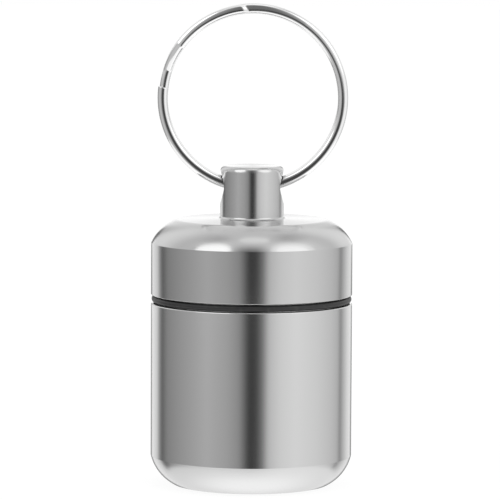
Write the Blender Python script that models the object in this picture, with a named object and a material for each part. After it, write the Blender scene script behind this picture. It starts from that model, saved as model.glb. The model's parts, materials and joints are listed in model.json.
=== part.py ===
"""Screw-top earplug case with a split ring, in metres, +Z up.

The origin is the centre of the flat base, and the photographed side faces -Y. The case is four
pieces: a turned body, a turned lid with its cross-drilled boss, a rubber seal ring in the seam
between them, and a split ring through the boss.
"""

import math

import bmesh
import bpy
from mathutils import Vector

# Outside of the case
CASE_DIAMETER = 0.0260
BODY_HEIGHT = 0.0235          # base to the land that the seal ring sits on
FOOT_ROUND_HEIGHT = 0.0037
FOOT_ROUND_WIDTH = 0.0029
FOOT_START_SLOPE = math.radians(77.0)
LID_WALL_HEIGHT = 0.0067      # rim to the crease under the shoulder
SHOULDER_HEIGHT = 0.00305
SHOULDER_WIDTH = 0.0032
SHOULDER_START_SLOPE = math.radians(65.0)
EDGE_CHAMFER = 0.0001         # both edges of the seam

# Seal ring
SEAL_CORD = 0.0008
SEAL_GAP = 0.0001             # to the land and the collar
SEAL_RIM_GAP = 0.00015        # to the lid's rim
SEAL_INSET = 0.00005          # how far it stays inside the case's wall
COLLAR_TO_RIM = 0.00025

# Neck, thread and bore
LID_WALL = 0.00105
THREAD_DEPTH = 0.00055
THREAD_CLEARANCE = 0.0002     # crest to root, both ways
THREAD_PITCH = 0.0015
THREAD_BASE = 0.00075         # width of a ridge at its root
THREAD_CREST = 0.00035
THREAD_RUNOUT = 0.18          # turns over which a ridge fades into its wall
THREAD_SINK = 0.00015         # how deep a ridge is rooted in its wall
NECK_WALL = 0.0010
NECK_HEIGHT = 0.0065
NECK_TURNS = 2.75
LID_TURNS = 2.5
THREAD_LEAD_IN = 0.0006       # lid's rim to the middle of the neck's first turn
LID_THREAD_START = -0.25      # turns from the neck thread's start
MOUTH_CHAMFER = 0.0003
FLOOR_THICKNESS = 0.0018
BORE_CORNER = 0.0005
LID_TOP_THICKNESS = 0.0023
LID_CORNER = 0.0008

# Split ring
RING_OUTER_DIAMETER = 0.0245
WIRE_WIDTH = 0.00125          # across the ring
WIRE_THICKNESS = 0.0010       # along the ring's axis
TURN_GAP = 0.00042
RING_DROP = 0.00015           # wire's middle under the hole's axis
FRONT_END = math.radians(173.5)
STEP_START = math.radians(504.0)
STEP_END = math.radians(523.0)
REAR_END = math.radians(815.6)
STEP_NECKING = 0.15           # share of the wire's width lost where it steps across
WIRE_SQUARENESS = 0.7         # 1 is an ellipse, 0 a rectangle

# Boss and its cross hole
BOSS_DIAMETER = 0.0082
BOSS_EDGE_HEIGHT = 0.00075     # rounding of its top edge, measured down its wall
BOSS_EDGE_WIDTH = 0.00045
BOSS_FOOT_FILLET = 0.00045
HOLE_CLEARANCE = 0.00018      # round the ring's wire
HOLE_FLOOR = 0.00225          # lid's flat top to the hole
HOLE_ROOF = 0.0008            # metal over the hole

# Facets
TURNED_STEPS = 64
ROUND_STEPS = 6
FILLET_STEPS = 5
CORD_STEPS = 10
WIRE_STEPS = 8
WIRE_TURN_STEPS = 96          # sections in one turn of the wire
HOLE_STEPS = 32
TURNED_CREASE = math.radians(20.0)
CORD_CREASE = math.radians(60.0)
MERGE_DISTANCE = 1e-6

# Radii and heights that follow
CASE_RADIUS = CASE_DIAMETER / 2
SEAM = SEAL_GAP + SEAL_CORD + SEAL_RIM_GAP
RIM_Z = BODY_HEIGHT + SEAM
CREASE_Z = RIM_Z + LID_WALL_HEIGHT
LID_TOP_Z = CREASE_Z + SHOULDER_HEIGHT
SEAL_Z = BODY_HEIGHT + SEAL_GAP + SEAL_CORD / 2
SEAL_RADIUS = CASE_RADIUS - SEAL_INSET - SEAL_CORD / 2
COLLAR_RADIUS = SEAL_RADIUS - SEAL_CORD / 2 - SEAL_GAP
COLLAR_Z = RIM_Z - COLLAR_TO_RIM
LID_BORE_RADIUS = CASE_RADIUS - LID_WALL
NECK_RADIUS = LID_BORE_RADIUS - THREAD_CLEARANCE - THREAD_DEPTH
BORE_RADIUS = NECK_RADIUS - NECK_WALL
NECK_Z = BODY_HEIGHT + NECK_HEIGHT
THREAD_Z = RIM_Z + THREAD_LEAD_IN
CEILING_Z = LID_TOP_Z - LID_TOP_THICKNESS

BOSS_RADIUS = BOSS_DIAMETER / 2
RING_OUTER = RING_OUTER_DIAMETER / 2
RING_INNER = RING_OUTER - WIRE_WIDTH
RING_RISE = RING_OUTER - WIRE_WIDTH / 2 - RING_DROP
LAYER_Y = (WIRE_THICKNESS + TURN_GAP) / 2
RING_HALF_DEPTH = LAYER_Y + WIRE_THICKNESS / 2
# The wire rises towards the hole's mouths, so its inner edge there sets the hole's radius
MOUTH_REACH = RING_RISE - math.sqrt(RING_INNER ** 2 - BOSS_RADIUS ** 2)
MIDDLE_REACH = RING_OUTER - RING_RISE
HOLE_RADIUS = math.hypot(max(MOUTH_REACH, MIDDLE_REACH), RING_HALF_DEPTH) + HOLE_CLEARANCE
HOLE_Z = LID_TOP_Z + HOLE_FLOOR + HOLE_RADIUS
BOSS_TOP_Z = HOLE_Z + HOLE_RADIUS + HOLE_ROOF


def clear_scene():
    for obj in list(bpy.data.objects):
        bpy.data.objects.remove(obj, do_unlink=True)


def material(name, colour, roughness, metallic):
    """A Principled BSDF with plain values."""
    mat = bpy.data.materials.new(name)
    mat.use_nodes = True
    shader = mat.node_tree.nodes["Principled BSDF"]
    shader.inputs["Base Color"].default_value = (*colour, 1.0)
    shader.inputs["Roughness"].default_value = roughness
    shader.inputs["Metallic"].default_value = metallic
    mat.diffuse_color = (*colour, 1.0)
    return mat


def finish_mesh(bm, name, crease):
    """Turn a bmesh into a linked object, smooth but for its real edges."""
    bmesh.ops.recalc_face_normals(bm, faces=bm.faces)
    mesh = bpy.data.meshes.new(name)
    bm.to_mesh(mesh)
    bm.free()
    mesh.shade_smooth()
    mesh.set_sharp_from_angle(angle=crease)
    obj = bpy.data.objects.new(name, mesh)
    bpy.context.collection.objects.link(obj)
    return obj


def arc(start, end, start_slope, steps):
    """Points of the arc from start to end, in (r, z), leaving start at start_slope from level."""
    run = start[0] - end[0]
    rise = end[1] - start[1]
    turn = start_slope - math.atan2(abs(rise), run)
    radius = math.hypot(run, rise) / (2 * math.sin(turn))
    points = []
    for i in range(steps + 1):
        slope = start_slope - 2 * turn * i / steps
        r = start[0] - radius * (math.sin(start_slope) - math.sin(slope))
        z = start[1] + math.copysign(radius, rise) * (math.cos(slope) - math.cos(start_slope))
        points.append((r, z))
    return points


def quarter(centre, radius, start_angle, steps):
    """Quarter circle in (r, z), clockwise from start_angle."""
    points = []
    for i in range(steps + 1):
        angle = start_angle - math.pi / 2 * i / steps
        points.append((centre[0] + radius * math.cos(angle), centre[1] + radius * math.sin(angle)))
    return points


def turned(name, profile):
    """Spin a profile of (r, z), whose two ends lie on the axis, into a closed solid."""
    bm = bmesh.new()
    verts = [bm.verts.new((r, 0.0, z)) for r, z in profile]
    edges = [bm.edges.new(pair) for pair in zip(verts, verts[1:])]
    bmesh.ops.spin(bm, geom=verts + edges, cent=(0, 0, 0), axis=(0, 0, 1),
                   angle=math.tau, steps=TURNED_STEPS, use_merge=True)
    bmesh.ops.remove_doubles(bm, verts=bm.verts, dist=MERGE_DISTANCE)
    return finish_mesh(bm, name, TURNED_CREASE)


def swept(name, sections, closed=False):
    """Join rings of points, one after another, into a closed solid."""
    bm = bmesh.new()
    rings = [[bm.verts.new(point) for point in section] for section in sections]
    pairs = list(zip(rings, rings[1:]))
    if closed:
        pairs.append((rings[-1], rings[0]))
    for near, far in pairs:
        for i in range(len(near)):
            j = (i + 1) % len(near)
            bm.faces.new((near[i], near[j], far[j], far[i]))
    if not closed:
        bm.faces.new(rings[0])
        bm.faces.new(rings[-1])
    return finish_mesh(bm, name, CORD_CREASE)


def hide_helper(obj):
    obj.hide_render = True
    obj.display_type = "WIRE"


def thread_ridge(name, root, outward, start_turn, turns, z_at_zero):
    """A trapezoid ridge wound on the wall of radius root; outward is 1 on a neck, -1 in a bore."""
    sections = []
    count = round(turns * TURNED_STEPS)
    for i in range(count + 1):
        turn = start_turn + i / TURNED_STEPS
        from_end = min(i, count - i) / TURNED_STEPS
        height = min(1.0, from_end / THREAD_RUNOUT)
        crest = root + outward * (height * (THREAD_DEPTH + THREAD_SINK / 2) - THREAD_SINK / 2)
        foot = root - outward * THREAD_SINK
        base = THREAD_BASE / 2 + THREAD_SINK * (THREAD_BASE - THREAD_CREST) / (2 * THREAD_DEPTH)
        tip = base + (THREAD_CREST / 2 - base) * abs(crest - foot) / (THREAD_DEPTH + THREAD_SINK)
        z = z_at_zero + turn * THREAD_PITCH
        direction = Vector((math.cos(turn * math.tau), math.sin(turn * math.tau), 0.0))
        corners = [(foot, z - base), (crest, z - tip), (crest, z + tip), (foot, z + base)]
        sections.append([direction * r + Vector((0.0, 0.0, height_z)) for r, height_z in corners])
    ridge = swept(name, sections)
    hide_helper(ridge)
    return ridge


def boolean(obj, operation, helper):
    modifier = obj.modifiers.new(f"{operation.lower()} {helper.name}", "BOOLEAN")
    modifier.operation = operation
    modifier.solver = "EXACT"
    modifier.object = helper


def make_case_body():
    """Cup turned from bar: rounded foot, straight wall, land and collar for the seal, threaded neck."""
    base_radius = CASE_RADIUS - FOOT_ROUND_WIDTH
    foot = arc((CASE_RADIUS, FOOT_ROUND_HEIGHT), (base_radius, 0.0), FOOT_START_SLOPE, ROUND_STEPS)
    profile = [
        (0.0, FLOOR_THICKNESS),
        (BORE_RADIUS - BORE_CORNER, FLOOR_THICKNESS),
        (BORE_RADIUS, FLOOR_THICKNESS + BORE_CORNER),
        (BORE_RADIUS, NECK_Z - MOUTH_CHAMFER),
        (BORE_RADIUS + MOUTH_CHAMFER, NECK_Z),
        (NECK_RADIUS - MOUTH_CHAMFER, NECK_Z),
        (NECK_RADIUS, NECK_Z - MOUTH_CHAMFER),
        (NECK_RADIUS, COLLAR_Z),
        (COLLAR_RADIUS, COLLAR_Z),
        (COLLAR_RADIUS, BODY_HEIGHT),
        (CASE_RADIUS - EDGE_CHAMFER, BODY_HEIGHT),
        (CASE_RADIUS, BODY_HEIGHT - EDGE_CHAMFER),
        *foot,
        (0.0, 0.0),
    ]
    body = turned("case_body", profile)
    thread = thread_ridge("neck_thread", NECK_RADIUS, 1, 0.0, NECK_TURNS, THREAD_Z)
    boolean(body, "UNION", thread)
    return body


def make_lid():
    """Cap turned from bar, its boss left standing on the flat top, then threaded and cross-drilled."""
    top_radius = CASE_RADIUS - SHOULDER_WIDTH
    shoulder = arc((CASE_RADIUS, CREASE_Z), (top_radius, LID_TOP_Z), SHOULDER_START_SLOPE, ROUND_STEPS)
    fillet_centre = (BOSS_RADIUS + BOSS_FOOT_FILLET, LID_TOP_Z + BOSS_FOOT_FILLET)
    fillet = quarter(fillet_centre, BOSS_FOOT_FILLET, -math.pi / 2, FILLET_STEPS)
    edge_round = arc((BOSS_RADIUS, BOSS_TOP_Z - BOSS_EDGE_HEIGHT),
                     (BOSS_RADIUS - BOSS_EDGE_WIDTH, BOSS_TOP_Z), math.pi / 2, FILLET_STEPS)
    profile = [
        (0.0, CEILING_Z),
        (LID_BORE_RADIUS - LID_CORNER, CEILING_Z),
        (LID_BORE_RADIUS, CEILING_Z - LID_CORNER),
        (LID_BORE_RADIUS, RIM_Z + MOUTH_CHAMFER),
        (LID_BORE_RADIUS + MOUTH_CHAMFER, RIM_Z),
        (CASE_RADIUS - EDGE_CHAMFER, RIM_Z),
        (CASE_RADIUS, RIM_Z + EDGE_CHAMFER),
        *shoulder,
        *fillet,
        *edge_round,
        (0.0, BOSS_TOP_Z),
    ]
    lid = turned("lid", profile)
    thread = thread_ridge("lid_thread", LID_BORE_RADIUS, -1, LID_THREAD_START, LID_TURNS,
                          THREAD_Z + THREAD_PITCH / 2)
    boolean(lid, "UNION", thread)
    drill = make_drill()
    boolean(lid, "DIFFERENCE", drill)
    return lid


def make_drill():
    """The drill for the boss's cross hole, along X."""
    sections = []
    for x in (-2 * BOSS_RADIUS, 2 * BOSS_RADIUS):
        ring = []
        for i in range(HOLE_STEPS):
            angle = math.tau * (i + 0.5) / HOLE_STEPS
            y = HOLE_RADIUS * math.cos(angle)
            z = HOLE_Z + HOLE_RADIUS * math.sin(angle)
            ring.append((x, y, z))
        sections.append(ring)
    drill = swept("cross_drill", sections)
    hide_helper(drill)
    return drill


def make_seal_ring():
    """Rubber O-ring round the neck's collar; its own origin is its centre."""
    sections = []
    for i in range(TURNED_STEPS):
        angle = math.tau * i / TURNED_STEPS
        section = []
        for k in range(CORD_STEPS):
            turn = math.tau * (k + 0.5) / CORD_STEPS
            r = SEAL_RADIUS + SEAL_CORD / 2 * math.cos(turn)
            section.append((r * math.cos(angle), r * math.sin(angle), SEAL_CORD / 2 * math.sin(turn)))
        sections.append(section)
    return swept("seal_ring", sections, closed=True)


def wire_state(angle):
    """Middle depth, inner radius and width of the split ring's wire at an angle along it."""
    share = min(max((angle - STEP_START) / (STEP_END - STEP_START), 0.0), 1.0)
    across = share * share * (3 - 2 * share)
    width = WIRE_WIDTH * (1 - STEP_NECKING * math.sin(math.pi * share))
    return -LAYER_Y + 2 * LAYER_Y * across, RING_OUTER - width, width


def make_split_ring():
    """One flat-oval wire of nearly two turns; its own origin is the cross hole's centre."""
    count = round((REAR_END - FRONT_END) / math.tau * WIRE_TURN_STEPS)
    sections = []
    middles = []
    for i in range(count + 1):
        angle = FRONT_END + (REAR_END - FRONT_END) * i / count
        depth, inner, width = wire_state(angle)
        section = []
        for k in range(WIRE_STEPS):
            turn = math.tau * (k + 0.5) / WIRE_STEPS
            side = math.copysign(abs(math.cos(turn)) ** WIRE_SQUARENESS, math.cos(turn))
            face = math.copysign(abs(math.sin(turn)) ** WIRE_SQUARENESS, math.sin(turn))
            r = inner + width / 2 * (1 + side)
            y = depth + WIRE_THICKNESS / 2 * face
            section.append((r * math.cos(angle), y, RING_RISE + r * math.sin(angle)))
        sections.append(section)
        middles.append((angle, depth))
    print_turn_gap(middles)
    return swept("split_ring", sections)


def print_turn_gap(middles):
    """Least gap between the wire's turns, measured along the ring's axis."""
    gaps = []
    for angle, depth in middles:
        for other, other_depth in middles:
            if abs(angle - other - math.tau) < math.tau / WIRE_TURN_STEPS:
                gaps.append(abs(depth - other_depth) - WIRE_THICKNESS)
    print(f"split_ring: least gap between turns {1000 * min(gaps):.3f} mm")


def attach(obj, parent, world):
    """Put an object's origin at a world point, under a parent that isn't turned."""
    obj.parent = parent
    base = Vector((0.0, 0.0, 0.0))
    while parent is not None:
        base += parent.location
        parent = parent.parent
    obj.location = Vector(world) - base


def main():
    clear_scene()
    aluminium = material("satin turned aluminium", (0.72, 0.72, 0.72), 0.28, 1.0)
    lid_aluminium = material("satin turned aluminium, lid", (0.74, 0.74, 0.74), 0.28, 1.0)
    rubber = material("black nitrile rubber", (0.03, 0.03, 0.032), 0.6, 0.0)
    nickel = material("nickel-plated spring steel", (0.66, 0.65, 0.63), 0.12, 1.0)

    body = make_case_body()
    body.data.materials.append(aluminium)

    screw_axis = bpy.data.objects.new("lid_screw_axis", None)
    bpy.context.collection.objects.link(screw_axis)
    screw_axis.location = (0.0, 0.0, RIM_Z)

    seal = make_seal_ring()
    seal.data.materials.append(rubber)
    attach(seal, screw_axis, (0.0, 0.0, SEAL_Z))

    lid = make_lid()
    lid.data.materials.append(lid_aluminium)
    attach(lid, screw_axis, (0.0, 0.0, 0.0))

    ring = make_split_ring()
    ring.data.materials.append(nickel)
    attach(ring, lid, (0.0, 0.0, HOLE_Z))


main()
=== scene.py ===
"""Looks of a screw-top earplug case with a split ring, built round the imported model.

Metres, +Z up, origin at the centre of the flat base, photographed side towards -Y. Sizes below
are in millimetres, which MM turns into metres, and levels of light are linear.
"""

import json
import math

import bmesh
import bpy
from mathutils import Matrix, Vector


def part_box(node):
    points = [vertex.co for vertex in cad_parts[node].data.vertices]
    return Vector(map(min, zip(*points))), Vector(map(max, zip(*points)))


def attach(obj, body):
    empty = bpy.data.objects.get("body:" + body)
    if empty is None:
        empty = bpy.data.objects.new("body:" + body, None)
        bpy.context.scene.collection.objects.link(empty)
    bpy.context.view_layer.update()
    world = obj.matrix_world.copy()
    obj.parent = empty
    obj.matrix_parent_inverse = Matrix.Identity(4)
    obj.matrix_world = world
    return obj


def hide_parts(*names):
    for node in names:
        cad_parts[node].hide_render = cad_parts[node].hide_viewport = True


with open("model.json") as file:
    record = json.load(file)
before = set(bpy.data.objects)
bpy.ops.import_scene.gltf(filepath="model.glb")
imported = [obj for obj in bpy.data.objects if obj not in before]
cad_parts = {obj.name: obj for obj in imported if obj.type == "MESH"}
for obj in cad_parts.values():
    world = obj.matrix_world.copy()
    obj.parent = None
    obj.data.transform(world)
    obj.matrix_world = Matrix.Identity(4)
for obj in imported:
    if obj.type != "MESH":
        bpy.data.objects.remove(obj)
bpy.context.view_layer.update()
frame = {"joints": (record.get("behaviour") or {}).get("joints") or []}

# Camera
# A long lens half a metre away, a little above the case and tipped down at it, as in the
# photograph. The frame is 500 pixels square, so the lens follows from its length in pixels.
MM = 0.001
PHOTO_SIDE_PIXELS = 500
LENS_PIXELS = 3888
CAMERA_DISTANCE = 500.0
CAMERA_SIDE = -0.225
CAMERA_HEIGHT = 77.2
CAMERA_PITCH = math.radians(5.36)
CAMERA_ROLL = math.radians(0.26)
NEAREST_SEEN = 10.0
FARTHEST_SEEN = 50000.0

camera = bpy.data.objects.new("photo_camera", bpy.data.cameras.new("photo_camera"))
bpy.context.scene.collection.objects.link(camera)
camera.location = Vector((CAMERA_SIDE, -CAMERA_DISTANCE, CAMERA_HEIGHT)) * MM
camera.rotation_euler = (Matrix.Rotation(math.pi / 2 - CAMERA_PITCH, 3, "X")
                         @ Matrix.Rotation(CAMERA_ROLL, 3, "Z")).to_euler()
camera.data.lens = camera.data.sensor_width * LENS_PIXELS / PHOTO_SIDE_PIXELS
camera.data.clip_start = NEAREST_SEEN * MM
camera.data.clip_end = FARTHEST_SEEN * MM
bpy.context.scene.camera = camera
bpy.context.scene.view_settings.view_transform = "Standard"


# Case body
# A cup turned from aluminium bar: straight wall, rounded foot, flat base, and a neck with a
# right-hand thread that the lid screws on to. Its satin skin is the lathe's own fine feed marks.
BODY_ALUMINIUM = "D2D2D2"
FEED_SPACING = 0.25
TURNED_STEPS = 256
TURNED_CREASE = 14.0
ARC_STEPS = 20
CORNER_STEPS = 5
MERGE = 0.0005
FOOT_HEIGHT = 3.7
FOOT_WIDTH = 2.9
FOOT_START_SLOPE = math.radians(77.0)
LAND_EDGE_ROUND = 0.18
COLLAR_ROUND = 0.03
SEAL_GAP = 0.1
LID_WALL = 1.05
THREAD_DEPTH = 0.55
THREAD_CLEARANCE = 0.2
THREAD_PITCH = 1.5
THREAD_BASE = 0.75
THREAD_CREST = 0.35
THREAD_SINK = 0.15
THREAD_STEPS = 96
THREAD_RUNOUT = 0.18
THREAD_LEAD_IN = 0.6
THREAD_CREASE = 30.0
NECK_WALL = 1.0
NECK_TURNS = 2.75
FLOOR_THICKNESS = 1.8
BORE_CORNER = 0.5
MOUTH_ROUND = 0.25
COLLAR_TO_RIM = 0.25

body_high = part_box("case_body")[1] / MM
seal_low, seal_high = (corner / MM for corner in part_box("seal_ring"))
lid_low, lid_high = (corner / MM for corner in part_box("lid"))
case_radius = body_high.x
neck_top = body_high.z
land_z = seal_low.z - SEAL_GAP
rim_z = lid_low.z
seal_cord = seal_high.z - seal_low.z
collar_radius = seal_high.x - seal_cord - SEAL_GAP
lid_bore_radius = case_radius - LID_WALL
neck_radius = lid_bore_radius - THREAD_CLEARANCE - THREAD_DEPTH
bore_radius = neck_radius - NECK_WALL
thread_z = rim_z + THREAD_LEAD_IN


def arc(start, end, start_slope, steps):
    """Points of the arc from start to end, in (r, z), leaving start at start_slope from level."""
    run = start[0] - end[0]
    rise = end[1] - start[1]
    turn = start_slope - math.atan2(abs(rise), run)
    radius = math.hypot(run, rise) / (2 * math.sin(turn))
    points = []
    for i in range(steps + 1):
        slope = start_slope - 2 * turn * i / steps
        r = start[0] - radius * (math.sin(start_slope) - math.sin(slope))
        z = start[1] + math.copysign(1, rise) * radius * (math.cos(slope) - math.cos(start_slope))
        points.append((r, z))
    return points


def rounded(corners):
    """Outline of (r, z) corners, those that have a third value rounded to that radius."""
    outline = []
    for i, corner in enumerate(corners):
        here = Vector(corner[:2])
        if len(corner) == 2:
            outline.append(here)
            continue
        before = (Vector(corners[i - 1][:2]) - here).normalized()
        after = (Vector(corners[i + 1][:2]) - here).normalized()
        half = before.angle(after) / 2
        centre = here + (before + after).normalized() * corner[2] / math.sin(half)
        start = here + before * corner[2] / math.tan(half) - centre
        end = here + after * corner[2] / math.tan(half) - centre
        sweep = math.atan2(start.x * end.y - start.y * end.x, start.dot(end))
        for k in range(CORNER_STEPS + 1):
            outline.append(centre + Matrix.Rotation(sweep * k / CORNER_STEPS, 2) @ start)
    return outline


def finished(bm, name, crease):
    """A linked object in metres from a bmesh in millimetres, smooth but for edges that turn by
    more than crease degrees."""
    bmesh.ops.remove_doubles(bm, verts=bm.verts, dist=MERGE)
    bmesh.ops.recalc_face_normals(bm, faces=bm.faces)
    bmesh.ops.scale(bm, vec=(MM, MM, MM), verts=bm.verts)
    mesh = bpy.data.meshes.new(name)
    bm.to_mesh(mesh)
    bm.free()
    mesh.shade_smooth()
    mesh.set_sharp_from_angle(angle=math.radians(crease))
    piece = bpy.data.objects.new(name, mesh)
    bpy.context.scene.collection.objects.link(piece)
    return piece


def turned(name, outline):
    """Spin an outline of (r, z) points once round the case's axis."""
    bm = bmesh.new()
    points = [bm.verts.new((r, 0.0, z)) for r, z in outline]
    lines = [bm.edges.new(pair) for pair in zip(points, points[1:])]
    bmesh.ops.spin(bm, geom=points + lines, cent=(0, 0, 0), axis=(0, 0, 1),
                   angle=math.tau, steps=TURNED_STEPS, use_merge=True)
    return finished(bm, name, TURNED_CREASE)


def swept(bm, section, centre, axis, angle, rise, steps):
    """Spin a closed section step by step, and return the ring of points made at each step."""
    verts = [bm.verts.new(point) for point in section]
    lines = [bm.edges.new((verts[i - 1], verts[i])) for i in range(len(verts))]
    rings = [verts]
    moving = lines
    for _ in range(steps):
        made = bmesh.ops.spin(bm, geom=moving, cent=centre, axis=axis, angle=angle / steps,
                              dvec=Vector(axis) * rise / steps, steps=1, use_duplicate=False)
        verts = [item for item in made["geom_last"] if isinstance(item, bmesh.types.BMVert)]
        moving = [item for item in made["geom_last"] if isinstance(item, bmesh.types.BMEdge)]
        rings.append(verts)
    return rings


def thread_ridge(name, root, outward, start_turn, turns, z_at_zero):
    """A trapezoid ridge wound on a wall of radius root, fading into it at both ends. Its flanks
    run on into the wall, so that the Boolean has something to join."""
    foot = root - outward * THREAD_SINK
    crest = root + outward * THREAD_DEPTH
    base = THREAD_BASE / 2 + THREAD_SINK * (THREAD_BASE - THREAD_CREST) / (2 * THREAD_DEPTH)
    low = z_at_zero + start_turn * THREAD_PITCH
    section = [(foot, low - base), (crest, low - THREAD_CREST / 2),
               (crest, low + THREAD_CREST / 2), (foot, low + base)]
    spin_to_start = Matrix.Rotation(start_turn * math.tau, 3, "Z")
    steps = round(turns * THREAD_STEPS)
    bm = bmesh.new()
    rings = swept(bm, [spin_to_start @ Vector((r, 0.0, z)) for r, z in section],
                  (0, 0, 0), (0, 0, 1), turns * math.tau, turns * THREAD_PITCH, steps)
    for i, ring in enumerate(rings):
        share = min(1.0, min(i, steps - i) / THREAD_STEPS / THREAD_RUNOUT)
        height = share * (THREAD_DEPTH + THREAD_SINK / 2) - THREAD_SINK / 2
        for vert in ring:
            radius = vert.co.xy.length
            if abs(radius - crest) < MERGE:
                vert.co.xy *= (root + outward * height) / radius
    bmesh.ops.contextual_create(bm, geom=rings[0])
    bmesh.ops.contextual_create(bm, geom=rings[-1])
    return finished(bm, name, THREAD_CREASE)


def combine(piece, tool, operation):
    """Apply a Boolean to a turned piece with a helper piece, which is then removed."""
    boolean = piece.modifiers.new(operation.lower(), "BOOLEAN")
    boolean.operation = operation
    boolean.solver = "EXACT"
    boolean.object = tool
    depsgraph = bpy.context.evaluated_depsgraph_get()
    mesh = bpy.data.meshes.new_from_object(piece.evaluated_get(depsgraph))
    piece.modifiers.clear()
    piece.data = mesh
    mesh.shade_smooth()
    mesh.set_sharp_from_angle(angle=math.radians(TURNED_CREASE))
    bpy.data.objects.remove(tool)


def linear(hex_colour):
    """Scene colour of an sRGB hex value."""
    channels = [int(hex_colour[i:i + 2], 16) / 255 for i in (0, 2, 4)]
    return (*[c / 12.92 if c <= 0.04045 else ((c + 0.055) / 1.055) ** 2.4 for c in channels], 1.0)


def add_node(tree, kind, inputs=None, **settings):
    """Add a node; inputs maps a socket's name or number to a value or to another node's output."""
    made = tree.nodes.new(kind)
    for key, value in settings.items():
        setattr(made, key, value)
    for key, value in (inputs or {}).items():
        if isinstance(value, bpy.types.NodeSocket):
            tree.links.new(value, made.inputs[key])
        else:
            made.inputs[key].default_value = value
    return made


def new_material(name):
    """An empty node material with its output."""
    material = bpy.data.materials.new(name)
    material.use_nodes = True
    material.node_tree.nodes.clear()
    return material, material.node_tree, material.node_tree.nodes.new("ShaderNodeOutputMaterial")


def satin_turned_aluminium(name, colour):
    """Bar turned on a lathe with a fine feed: reflections stay crisp round the case and are
    drawn out along it, with faint rings. The real feed marks are about 0.05 mm apart, too fine
    to show, so they are drawn at 0.25 mm."""
    material, tree, output = new_material(name)
    place = add_node(tree, "ShaderNodeTexCoord").outputs["Object"]
    parts = add_node(tree, "ShaderNodeSeparateXYZ", {"Vector": place})
    flat = add_node(tree, "ShaderNodeCombineXYZ", {
        "X": parts.outputs["X"], "Y": parts.outputs["Y"]})
    radius = add_node(tree, "ShaderNodeVectorMath", {0: flat.outputs[0]}, operation="LENGTH")
    along = add_node(tree, "ShaderNodeCombineXYZ", {
        "X": radius.outputs["Value"], "Z": parts.outputs["Z"]})
    feed = add_node(tree, "ShaderNodeTexNoise", {
        "Vector": along.outputs[0], "Scale": 1 / (FEED_SPACING * MM), "Detail": 2.0,
        "Roughness": 0.6})
    bump = add_node(tree, "ShaderNodeBump", {
        "Height": feed.outputs[0], "Strength": 0.35, "Distance": 0.004 * MM})
    sheen = add_node(tree, "ShaderNodeMapRange", {
        "Value": feed.outputs[0], "To Min": 0.165, "To Max": 0.205})
    tangent = add_node(tree, "ShaderNodeTangent", direction_type="RADIAL", axis="Z")
    shader = add_node(tree, "ShaderNodeBsdfPrincipled", {
        "Base Color": linear(colour), "Metallic": 1.0, "Roughness": sheen.outputs[0],
        "Anisotropic": 0.74, "Anisotropic Rotation": 0.25,
        "Tangent": tangent.outputs[0], "Normal": bump.outputs[0]})
    tree.links.new(shader.outputs[0], output.inputs["Surface"])
    return material


foot = arc((case_radius, FOOT_HEIGHT), (case_radius - FOOT_WIDTH, 0.0), FOOT_START_SLOPE,
           ARC_STEPS)
body_outline = rounded([
    (0.0, FLOOR_THICKNESS),
    (bore_radius, FLOOR_THICKNESS, BORE_CORNER),
    (bore_radius, neck_top, MOUTH_ROUND),
    (neck_radius, neck_top, MOUTH_ROUND),
    (neck_radius, rim_z - COLLAR_TO_RIM),
    (collar_radius, rim_z - COLLAR_TO_RIM, COLLAR_ROUND),
    (collar_radius, land_z),
    (case_radius, land_z, LAND_EDGE_ROUND),
    *foot,
    (0.0, 0.0),
])
case_body = turned("turned_case_body", body_outline)
neck_thread = thread_ridge("neck_thread", neck_radius, 1, 0.0, NECK_TURNS, thread_z)
combine(case_body, neck_thread, "UNION")
case_body.data.materials.append(satin_turned_aluminium("satin turned aluminium", BODY_ALUMINIUM))
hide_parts("case_body")
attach(case_body, "case_body")


# Seal ring
# A moulded O-ring of black nitrile rubber, stretched round the collar and squeezed in the seam.
# It is matt, a little dusty, and catches light only where it is seen at a slant.
NITRILE_BLACK = "1E1E1F"
NITRILE_DUST = "4A4946"
DUST_PATCH = 0.6
SKIN_GRAIN = 0.12
CORD_POINTS = 24
CORD_CREASE = 60.0

cord_place = Matrix.Translation((seal_high.x - seal_cord / 2, 0.0, seal_low.z + seal_cord / 2))
bm = bmesh.new()
section = bmesh.ops.create_circle(bm, segments=CORD_POINTS, radius=seal_cord / 2,
                                  matrix=cord_place @ Matrix.Rotation(math.pi / 2, 4, "X"))
bmesh.ops.spin(bm, geom=section["verts"] + list(bm.edges), cent=(0, 0, 0), axis=(0, 0, 1),
               angle=math.tau, steps=TURNED_STEPS, use_merge=True)
seal_ring = finished(bm, "moulded_seal_ring", CORD_CREASE)


def black_nitrile_rubber():
    """Matt moulded rubber: a fine-grained skin, with a dusty bloom in patches."""
    material, tree, output = new_material("black nitrile rubber")
    place = add_node(tree, "ShaderNodeTexCoord").outputs["Object"]
    patches = add_node(tree, "ShaderNodeTexNoise", {
        "Vector": place, "Scale": 1 / (DUST_PATCH * MM), "Detail": 4.0, "Roughness": 0.65})
    amount = add_node(tree, "ShaderNodeMapRange", {
        "Value": patches.outputs[0], "From Min": 0.52, "From Max": 0.78, "To Max": 0.5})
    colour = add_node(tree, "ShaderNodeMix", {
        "Factor": amount.outputs[0], "A": linear(NITRILE_BLACK), "B": linear(NITRILE_DUST)},
        data_type="RGBA")
    skin = add_node(tree, "ShaderNodeTexNoise", {
        "Vector": place, "Scale": 1 / (SKIN_GRAIN * MM), "Detail": 3.0})
    bump = add_node(tree, "ShaderNodeBump", {
        "Height": skin.outputs[0], "Strength": 0.4, "Distance": 0.01 * MM})
    shader = add_node(tree, "ShaderNodeBsdfPrincipled", {
        "Base Color": colour.outputs["Result"], "Roughness": 0.48, "IOR": 1.5,
        "Normal": bump.outputs[0]})
    tree.links.new(shader.outputs[0], output.inputs["Surface"])
    return material


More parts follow.
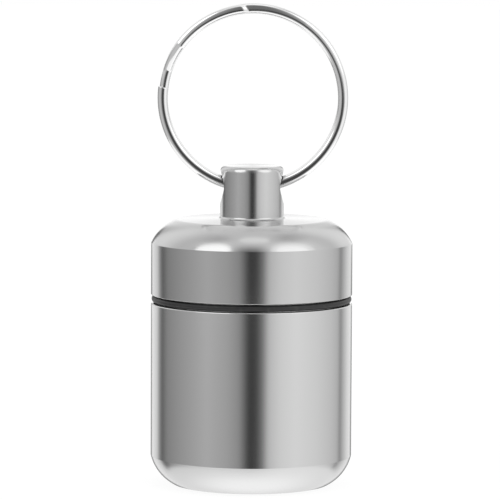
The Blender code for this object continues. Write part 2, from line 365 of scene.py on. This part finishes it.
seal_ring.data.materials.append(black_nitrile_rubber())
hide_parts("seal_ring")
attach(seal_ring, "seal_ring")


# Lid
# A screw cap turned from the same bar, with a domed shoulder and a top that rises a little to a
# round boss left standing on it. The boss is cross-drilled for the split ring, and both mouths
# of the hole are countersunk.
LID_ALUMINIUM = "CACACA"
LID_WALL_HEIGHT = 6.7
SHOULDER_HEIGHT = 2.9
SHOULDER_WIDTH = 2.9
SHOULDER_START_SLOPE = math.radians(65.0)
TOP_EDGE_HEIGHT = 0.15
TOP_EDGE_WIDTH = 0.66
TOP_RISE = 0.14
RIM_EDGE_ROUND = 0.12
CREASE_ROUND = 0.12
LID_TOP_THICKNESS = 2.3
LID_CORNER = 0.8
LID_TURNS = 2.5
LID_THREAD_START = -0.25
BOSS_DIAMETER = 8.2
BOSS_EDGE_HEIGHT = 0.75
BOSS_EDGE_WIDTH = 0.45
BOSS_FOOT_ROUND = 0.36
HOLE_ROOF = 0.8
COUNTERSINK = 0.28
DRILL_STEPS = 96
DRILL_CREASE = 20.0

crease_z = rim_z + LID_WALL_HEIGHT
lid_top_z = crease_z + SHOULDER_HEIGHT + TOP_EDGE_HEIGHT
boss_top_z = lid_high.z
boss_radius = BOSS_DIAMETER / 2
hole_z = next(joint["pos_m"][2] for joint in frame["joints"] if joint["name"] == "ring_swing") / MM
hole_radius = boss_top_z - HOLE_ROOF - hole_z
ceiling_z = lid_top_z - LID_TOP_THICKNESS
shoulder = arc((case_radius, crease_z),
               (case_radius - SHOULDER_WIDTH, lid_top_z - TOP_EDGE_HEIGHT),
               SHOULDER_START_SLOPE, ARC_STEPS)
top_edge = arc(shoulder[-1], (shoulder[-1][0] - TOP_EDGE_WIDTH, lid_top_z),
               2 * math.atan2(TOP_EDGE_HEIGHT, TOP_EDGE_WIDTH), CORNER_STEPS)
boss_foot_z = lid_top_z + TOP_RISE
boss_foot = arc((boss_radius + BOSS_FOOT_ROUND, boss_foot_z),
                (boss_radius, boss_foot_z + BOSS_FOOT_ROUND), 0.0, 2 * CORNER_STEPS)
boss_edge = arc((boss_radius, boss_top_z - BOSS_EDGE_HEIGHT),
                (boss_radius - BOSS_EDGE_WIDTH, boss_top_z), math.pi / 2, CORNER_STEPS)
lid_outline = rounded([
    (0.0, ceiling_z),
    (lid_bore_radius, ceiling_z, LID_CORNER),
    (lid_bore_radius, rim_z, MOUTH_ROUND),
    (case_radius, rim_z, RIM_EDGE_ROUND),
    (*shoulder[0], CREASE_ROUND),
    *shoulder[1:],
    *top_edge[1:],
    *boss_foot,
    *boss_edge,
    (0.0, boss_top_z),
])
lid = turned("turned_lid", lid_outline)
lid_thread = thread_ridge("lid_thread", lid_bore_radius, -1, LID_THREAD_START, LID_TURNS,
                          thread_z + THREAD_PITCH / 2)
combine(lid, lid_thread, "UNION")

drill_end = boss_radius + COUNTERSINK
drill_outline = [
    (0.0, -drill_end),
    (hole_radius + 2 * COUNTERSINK, -drill_end),
    (hole_radius, 2 * COUNTERSINK - drill_end),
    (hole_radius, drill_end - 2 * COUNTERSINK),
    (hole_radius + 2 * COUNTERSINK, drill_end),
    (0.0, drill_end),
]
bm = bmesh.new()
points = [bm.verts.new((x, 0.0, hole_z + r)) for r, x in drill_outline]
lines = [bm.edges.new(pair) for pair in zip(points, points[1:])]
bmesh.ops.spin(bm, geom=points + lines, cent=(0, 0, hole_z), axis=(1, 0, 0),
               angle=math.tau, steps=DRILL_STEPS, use_merge=True)
combine(lid, finished(bm, "cross_drill", DRILL_CREASE), "DIFFERENCE")
lid.data.materials.append(satin_turned_aluminium("satin turned aluminium lid", LID_ALUMINIUM))
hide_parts("lid")
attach(lid, "lid")


# Split ring
# One flattened spring-steel wire of nearly two turns, nickel-plated bright. From its cut front end
# on the left it runs down, round and over the top, steps back, and goes round again behind.
NICKEL = "F3F3F3"
WIRE_WIDTH = 1.33
WIRE_THICKNESS = 1.10
WIRE_ROUND = 0.54
WIRE_POINTS_PER_CORNER = 8
WIRE_STEP_DEGREES = 0.75
WIRE_CREASE = 20.0
RIPPLE_LENGTH = 0.9
WIRE_PLACES = [
    # degrees from the right over the top, slant in degrees, share of the way to the rear layer,
    # share of the width, inset, depth pressed in, twist in degrees
    (173.5, -1.3, 0.0, 1.00, 0.00, 0.00, 0),
    (177.0, 0.0, 0.0, 1.00, 0.00, 0.00, 0),
    (340.0, 0.0, 0.0, 1.00, 0.00, 0.00, 0),
    (390.0, 0.0, 0.0, 1.02, 0.02, 0.00, 9),
    (415.0, 0.0, 0.0, 1.03, 0.02, 0.00, 12),
    (440.0, 1.8, 0.0, 1.02, 0.02, 0.10, 12),
    (453.7, 3.65, 0.0, 1.01, 0.02, 0.18, 12),
    (457.0, 3.65, 0.0, 1.00, 0.04, 0.00, 12),
    (465.0, 0.0, 0.0, 1.00, 0.05, 0.00, 12),
    (480.0, 0.0, 0.0, 1.00, 0.06, 0.00, 12),
    (503.7, -0.7, 0.0, 0.97, 0.05, 0.00, 14),
    (504.4, -0.7, 0.015, 0.97, 0.05, 0.00, 14),
    (522.6, 0.0, 0.985, 0.89, 0.10, 0.00, 0),
    (523.3, 0.0, 1.0, 0.89, 0.10, 0.00, 0),
    (534.0, 0.0, 1.0, 0.89, 0.10, 0.00, 0),
    (545.0, 0.0, 1.0, 0.96, 0.04, 0.00, 0),
    (815.6, 0.0, 1.0, 0.96, 0.04, 0.00, 0),
]
# the ring is sprung a little wide, is lower than it is wide, and hangs a little aside and high
RING_SPREAD = 0.06
RING_HEIGHT_SHARE = 0.9915
RING_SIDE = 0.055
RING_LIFT = 0.04
END_ROUND = 0.12
END_STEPS = 4

ring_low, ring_high = (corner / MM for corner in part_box("split_ring"))
ring_outer = ring_high.x
ring_centre = Vector((0.0, 0.0, ring_low.z + ring_outer))
hung_centre = ring_centre + Vector((RING_SIDE, 0.0, RING_LIFT))
wire_middle = ring_outer + RING_SPREAD - WIRE_WIDTH / 2
layer_depth = ring_high.y - WIRE_THICKNESS / 2


def wire_section():
    """Rounded rectangle of (across, depth) points: the wire's flattened cross-section."""
    across_middle = WIRE_WIDTH / 2 - WIRE_ROUND
    depth_middle = WIRE_THICKNESS / 2 - WIRE_ROUND
    points = []
    for across_side, depth_side, start in ((1, 1, 0), (-1, 1, 1), (-1, -1, 2), (1, -1, 3)):
        for k in range(WIRE_POINTS_PER_CORNER):
            angle = math.pi / 2 * (start + k / (WIRE_POINTS_PER_CORNER - 1))
            points.append((across_side * across_middle + WIRE_ROUND * math.cos(angle),
                           depth_side * depth_middle + WIRE_ROUND * math.sin(angle)))
    return points


places = []
for start, end in zip(WIRE_PLACES, WIRE_PLACES[1:]):
    steps = max(1, round((end[0] - start[0]) / WIRE_STEP_DEGREES))
    for k in range(steps):
        places.append([a + (b - a) * k / steps for a, b in zip(start, end)])
places.append(WIRE_PLACES[-1])

# The wire is first spun flat and even, and each ring of its points then goes to its own place.
bm = bmesh.new()
first_turn = math.radians(places[0][0])
wire_length = math.radians(places[-1][0] - places[0][0])
start_turn = Matrix.Rotation(-first_turn, 3, "Y")
wire_start = [ring_centre + start_turn @ Vector((wire_middle + across, depth, 0.0))
              for across, depth in wire_section()]
rings = swept(bm, wire_start, ring_centre, (0, -1, 0), wire_length, 0.0, len(places) - 1)
for i, (ring, place) in enumerate(zip(rings, places)):
    degrees, slant, back, width, inset, pressed, twist_degrees = place
    twist = math.radians(twist_degrees)
    spun = first_turn + wire_length * i / (len(places) - 1)
    spun_outward = Vector((math.cos(spun), 0.0, math.sin(spun)))
    for vert in ring:
        across = (vert.co - ring_centre).dot(spun_outward) - wire_middle
        depth = vert.co.y
        if depth < 0:
            depth *= 1 - pressed * 2 / WIRE_THICKNESS
        angle = math.radians(degrees + slant * across / WIRE_WIDTH)
        across, depth = (width * (across * math.cos(twist) - depth * math.sin(twist)),
                         width * (depth * math.cos(twist) + across * math.sin(twist)))
        outward = Vector((math.cos(angle), 0.0, math.sin(angle) * RING_HEIGHT_SHARE))
        vert.co = hung_centre + outward * (wire_middle - inset + across)
        vert.co.y = layer_depth * (2 * back - 1) + depth
for ring in (rings[0], rings[-1]):
    cap = bmesh.ops.contextual_create(bm, geom=ring)["faces"]
    bmesh.ops.bevel(bm, geom=list(cap[0].edges), offset=END_ROUND, offset_type="OFFSET",
                    segments=END_STEPS, profile=0.5, affect="EDGES", material=-1)
split_ring = finished(bm, "nickel_split_ring", WIRE_CREASE)


def bright_nickel_plate():
    """Bright nickel over drawn wire: mirror-like, with shallow ripples of about a millimetre."""
    material, tree, output = new_material("bright nickel plate on spring steel")
    place = add_node(tree, "ShaderNodeTexCoord").outputs["Object"]
    ripple = add_node(tree, "ShaderNodeTexNoise", {
        "Vector": place, "Scale": 1 / (RIPPLE_LENGTH * MM), "Detail": 3.0})
    bump = add_node(tree, "ShaderNodeBump", {
        "Height": ripple.outputs[0], "Strength": 0.25, "Distance": 0.02 * MM})
    shader = add_node(tree, "ShaderNodeBsdfPrincipled", {
        "Base Color": linear(NICKEL), "Metallic": 1.0, "Roughness": 0.11,
        "Normal": bump.outputs[0]})
    tree.links.new(shader.outputs[0], output.inputs["Surface"])
    return material


split_ring.data.materials.append(bright_nickel_plate())
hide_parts("split_ring")
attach(split_ring, "split_ring")


# Floor
# A plain white table that fades into the white behind it. It is left out of mirror-like
# reflections, which see the studio's own lower half instead, so the metal stays crisp.
FLOOR_SIDE = 4000.0
FLOOR_GLOW = 0.86
FLOOR_GREY = "7C7C7C"

bm = bmesh.new()
bmesh.ops.create_grid(bm, x_segments=1, y_segments=1, size=FLOOR_SIDE / 2 * MM)
floor_mesh = bpy.data.meshes.new("white_floor")
bm.to_mesh(floor_mesh)
bm.free()
floor = bpy.data.objects.new("white_floor", floor_mesh)
bpy.context.scene.collection.objects.link(floor)
floor.visible_glossy = False
material, tree, output = new_material("white table")
glow = add_node(tree, "ShaderNodeEmission", {"Color": (1, 1, 1, 1), "Strength": FLOOR_GLOW})
surface = add_node(tree, "ShaderNodeBsdfDiffuse", {"Color": linear(FLOOR_GREY)})
both = add_node(tree, "ShaderNodeAddShader", {0: glow.outputs[0], 1: surface.outputs[0]})
tree.links.new(both.outputs[0], output.inputs["Surface"])
floor_mesh.materials.append(material)


# Studio
# White behind the case, a grey card to its left, a large white panel to its right and a dark gap
# for the camera between them, with softboxes over both sides and the top. Two leaning dark
# stands and the table's dark far edge, all behind the case, draw its fine outlines.
WALL_LEVELS = [
    # degrees to the right of the camera, level
    (-180, 1.2), (-150, 1.0), (-138, 0.88), (-129, 0.31), (-123, 0.15), (-112, 0.32),
    (-85, 0.44), (-52, 0.58), (-28, 0.49), (-14, 0.38), (-5, 0.10), (-1, 0.04), (6, 0.07),
    (13, 0.25), (20, 0.73), (33, 0.91), (52, 1.0), (80, 0.91), (104, 0.77), (117, 0.64),
    (123, 0.33), (130, 0.60), (143, 0.92), (180, 1.2),
]
UPPER_LEVELS = [
    (-180, 1.06), (-165, 0.98), (-155, 0.86), (-146, 1.0), (-135, 1.05), (-122, 0.95),
    (-112, 0.82), (-102, 0.72), (-88, 0.78), (-70, 0.66), (-42, 0.72), (-26, 0.68),
    (-16, 0.33), (-5, 0.15), (6, 0.17), (15, 0.40), (26, 0.85), (50, 0.86), (80, 0.88),
    (95, 0.94), (105, 0.82), (118, 0.78), (135, 1.03), (148, 1.06), (157, 0.95),
    (166, 0.90), (180, 1.06),
]
CEILING_LEVELS = [
    (-180, 0.82), (-150, 0.94), (-130, 0.87), (-110, 0.75), (-92, 0.56), (-72, 0.52),
    (-50, 0.78), (-30, 0.88), (-10, 0.84), (10, 0.84), (35, 0.88), (60, 0.70), (80, 0.54),
    (100, 0.54), (120, 0.68), (140, 0.90), (155, 0.94), (180, 0.80),
]
CEILING_TOP_LEVEL = 0.81
TABLE_EDGE_LEVELS = [
    (-180, 1.0), (-110, 0.97), (-80, 1.0), (-50, 1.04), (0, 1.03), (25, 1.10), (45, 1.15),
    (80, 1.14), (110, 1.09), (180, 1.0),
]
TABLE_LEVEL = 1.36
# in degrees of elevation, where one of these begins to give way to the next and has given way
TABLE_TO_EDGE = (-80, -36)
EDGE_TO_WALL = (-32, -26)
WALL_TO_UPPER = (4, 18)
UPPER_TO_CEILING = (44, 66)
CEILING_TO_TOP = (66, 80)
# in degrees, the middle of the dark far edge, how far from there its dark begins and is full, and
# the elevations where it begins and is full
FAR_LEVEL = 0.25
FAR_ELEVATION = -8
FAR_REACH = (24, 13)
FAR_TOP = (-2, -6)
# the left and right stand's degrees from the camera and share of the width, the degrees from
# their middle where the dark begins and is full, and their lean in degrees for each one up
STAND_LEVEL = 0.12
STAND_PLACES = (167, 170.5)
STAND_WIDTHS = (1.0, 0.6)
STAND_EDGE = (6.5, 2.5)
STAND_LEAN = 0.5
STAND_STRENGTHS = [
    # elevation, strength
    (-180, 0.0), (-3, 0.0), (1, 1.0), (9, 0.95), (15, 0.40), (25, 0.20), (40, 0.0), (180, 0.0),
]
SOFTBOX_DISTANCE = 600.0
SOFTBOXES = [
    # name, degrees to the right of the camera, elevation, width, height, level
    ("left softbox", -52, 37, 420.0, 460.0, 1.00),
    ("right softbox", 56, 36, 540.0, 560.0, 0.36),
    ("right softbox core", 54, 36, 380.0, 400.0, 0.32),
    ("top softbox", 8, 76, 250.0, 180.0, 0.33),
]

world = bpy.data.worlds.new("studio")
world.use_nodes = True
bpy.context.scene.world = world
tree = world.node_tree
tree.nodes.clear()


def grey(level):
    """Colour of a grey level. The output of another node stays as it is."""
    return level if isinstance(level, bpy.types.NodeSocket) else (level, level, level, 1.0)


def studio_band(levels, turn):
    """Level for a turn of 0 to 1, which is -180 to 180 degrees, from (degrees, level) pairs."""
    band = add_node(tree, "ShaderNodeValToRGB", {0: turn})
    stops = band.color_ramp.elements
    for _ in levels[2:]:
        stops.new(0.5)
    for stop, (degrees, level) in zip(stops, levels):
        stop.position = (degrees + 180) / 360
        stop.color = grey(level)
    return band.outputs[0]


def blend(low, high, span):
    """Low level below the first of two elevations in degrees, high level above the second."""
    share = add_node(tree, "ShaderNodeMapRange", {
        "Value": elevation, "From Min": math.radians(span[0]), "From Max": math.radians(span[1])},
        interpolation_type="SMOOTHSTEP")
    mixed = add_node(tree, "ShaderNodeMix", {
        "Factor": share.outputs[0], "A": grey(low), "B": grey(high)}, data_type="RGBA")
    return mixed.outputs["Result"]


# Where a ray goes in the studio
direction = add_node(tree, "ShaderNodeTexCoord").outputs["Generated"]
parts = add_node(tree, "ShaderNodeSeparateXYZ", {"Vector": direction})
forward = add_node(tree, "ShaderNodeMath", {0: parts.outputs["Y"], 1: -1.0}, operation="MULTIPLY")
azimuth = add_node(tree, "ShaderNodeMath", {
    0: parts.outputs["X"], 1: forward.outputs[0]}, operation="ARCTAN2").outputs[0]
elevation = add_node(tree, "ShaderNodeMath", {
    0: parts.outputs["Z"]}, operation="ARCSINE").outputs[0]
turn = add_node(tree, "ShaderNodeMapRange", {
    "Value": azimuth, "From Min": -math.pi, "From Max": math.pi}).outputs[0]
tilt = add_node(tree, "ShaderNodeMapRange", {
    "Value": elevation, "From Min": -math.pi, "From Max": math.pi}).outputs[0]

# Walls, ceiling and table
room = blend(studio_band(WALL_LEVELS, turn), studio_band(UPPER_LEVELS, turn), WALL_TO_UPPER)
room = blend(room, studio_band(CEILING_LEVELS, turn), UPPER_TO_CEILING)
room = blend(room, CEILING_TOP_LEVEL, CEILING_TO_TOP)
table = blend(TABLE_LEVEL, studio_band(TABLE_EDGE_LEVELS, turn), TABLE_TO_EDGE)
room = blend(table, room, EDGE_TO_WALL)

# Dark far edge of the table
far_tilt = math.radians(FAR_ELEVATION)
along_far = add_node(tree, "ShaderNodeVectorMath", {
    0: direction, 1: (0.0, math.cos(far_tilt), math.sin(far_tilt))}, operation="DOT_PRODUCT")
near_far = add_node(tree, "ShaderNodeMapRange", {
    "Value": along_far.outputs["Value"], "From Min": math.cos(math.radians(FAR_REACH[0])),
    "From Max": math.cos(math.radians(FAR_REACH[1]))}, interpolation_type="SMOOTHSTEP")
below_far = add_node(tree, "ShaderNodeMapRange", {
    "Value": elevation, "From Min": math.radians(FAR_TOP[0]),
    "From Max": math.radians(FAR_TOP[1])}, interpolation_type="SMOOTHSTEP")
far_share = add_node(tree, "ShaderNodeMath", {
    0: near_far.outputs[0], 1: below_far.outputs[0]}, operation="MULTIPLY")
room = add_node(tree, "ShaderNodeMix", {
    "Factor": far_share.outputs[0], "A": room, "B": grey(FAR_LEVEL)},
    data_type="RGBA").outputs["Result"]

# Dark leaning stands
from_front = add_node(tree, "ShaderNodeMath", {0: azimuth}, operation="ABSOLUTE")
leaning = add_node(tree, "ShaderNodeMath", {
    0: elevation, 1: STAND_LEAN, 2: from_front.outputs[0]}, operation="MULTIPLY_ADD")
stand_place = add_node(tree, "ShaderNodeMapRange", {
    "Value": azimuth, "From Min": -math.pi / 2, "From Max": math.pi / 2,
    "To Min": math.radians(STAND_PLACES[0]), "To Max": math.radians(STAND_PLACES[1])})
stand_width = add_node(tree, "ShaderNodeMapRange", {
    "Value": azimuth, "From Min": -math.pi / 2, "From Max": math.pi / 2,
    "To Min": STAND_WIDTHS[0], "To Max": STAND_WIDTHS[1]})
off_middle = add_node(tree, "ShaderNodeMath", {
    0: leaning.outputs[0], 1: stand_place.outputs[0]}, operation="SUBTRACT")
for_width = add_node(tree, "ShaderNodeMath", {
    0: off_middle.outputs[0], 1: stand_width.outputs[0]}, operation="DIVIDE")
off_stand = add_node(tree, "ShaderNodeMath", {0: for_width.outputs[0]}, operation="ABSOLUTE")
in_stand = add_node(tree, "ShaderNodeMapRange", {
    "Value": off_stand.outputs[0], "From Min": math.radians(STAND_EDGE[0]),
    "From Max": math.radians(STAND_EDGE[1])}, interpolation_type="SMOOTHSTEP")
stand_share = add_node(tree, "ShaderNodeMath", {
    0: in_stand.outputs[0], 1: studio_band(STAND_STRENGTHS, tilt)}, operation="MULTIPLY")
room = add_node(tree, "ShaderNodeMix", {
    "Factor": stand_share.outputs[0], "A": room, "B": grey(STAND_LEVEL)},
    data_type="RGBA").outputs["Result"]

# The camera itself sees plain white
seen = add_node(tree, "ShaderNodeLightPath").outputs["Is Camera Ray"]
shown = add_node(tree, "ShaderNodeMix", {
    "Factor": seen, "A": room, "B": grey(1.0)}, data_type="RGBA")
background = add_node(tree, "ShaderNodeBackground", {"Color": shown.outputs["Result"]})
add_node(tree, "ShaderNodeOutputWorld", {"Surface": background.outputs[0]})


def softbox(name, azimuth_degrees, elevation_degrees, width, height, level):
    """An oval soft lamp aimed at the lid's top. Its level is its radiance, so its power is pi
    times its area times that."""
    lamp = bpy.data.lights.new(name, "AREA")
    lamp.shape = "ELLIPSE"
    lamp.size = width * MM
    lamp.size_y = height * MM
    lamp.energy = level * math.pi * (math.pi / 4 * lamp.size * lamp.size_y)
    holder = bpy.data.objects.new(name, lamp)
    bpy.context.scene.collection.objects.link(holder)
    side = math.radians(azimuth_degrees)
    up = math.radians(elevation_degrees)
    away = Vector((math.sin(side) * math.cos(up), -math.cos(side) * math.cos(up), math.sin(up)))
    holder.location = (away * SOFTBOX_DISTANCE + Vector((0.0, 0.0, lid_top_z))) * MM
    holder.rotation_euler = away.to_track_quat("Z", "Y").to_euler()
    holder.visible_camera = False


for box in SOFTBOXES:
    softbox(*box)
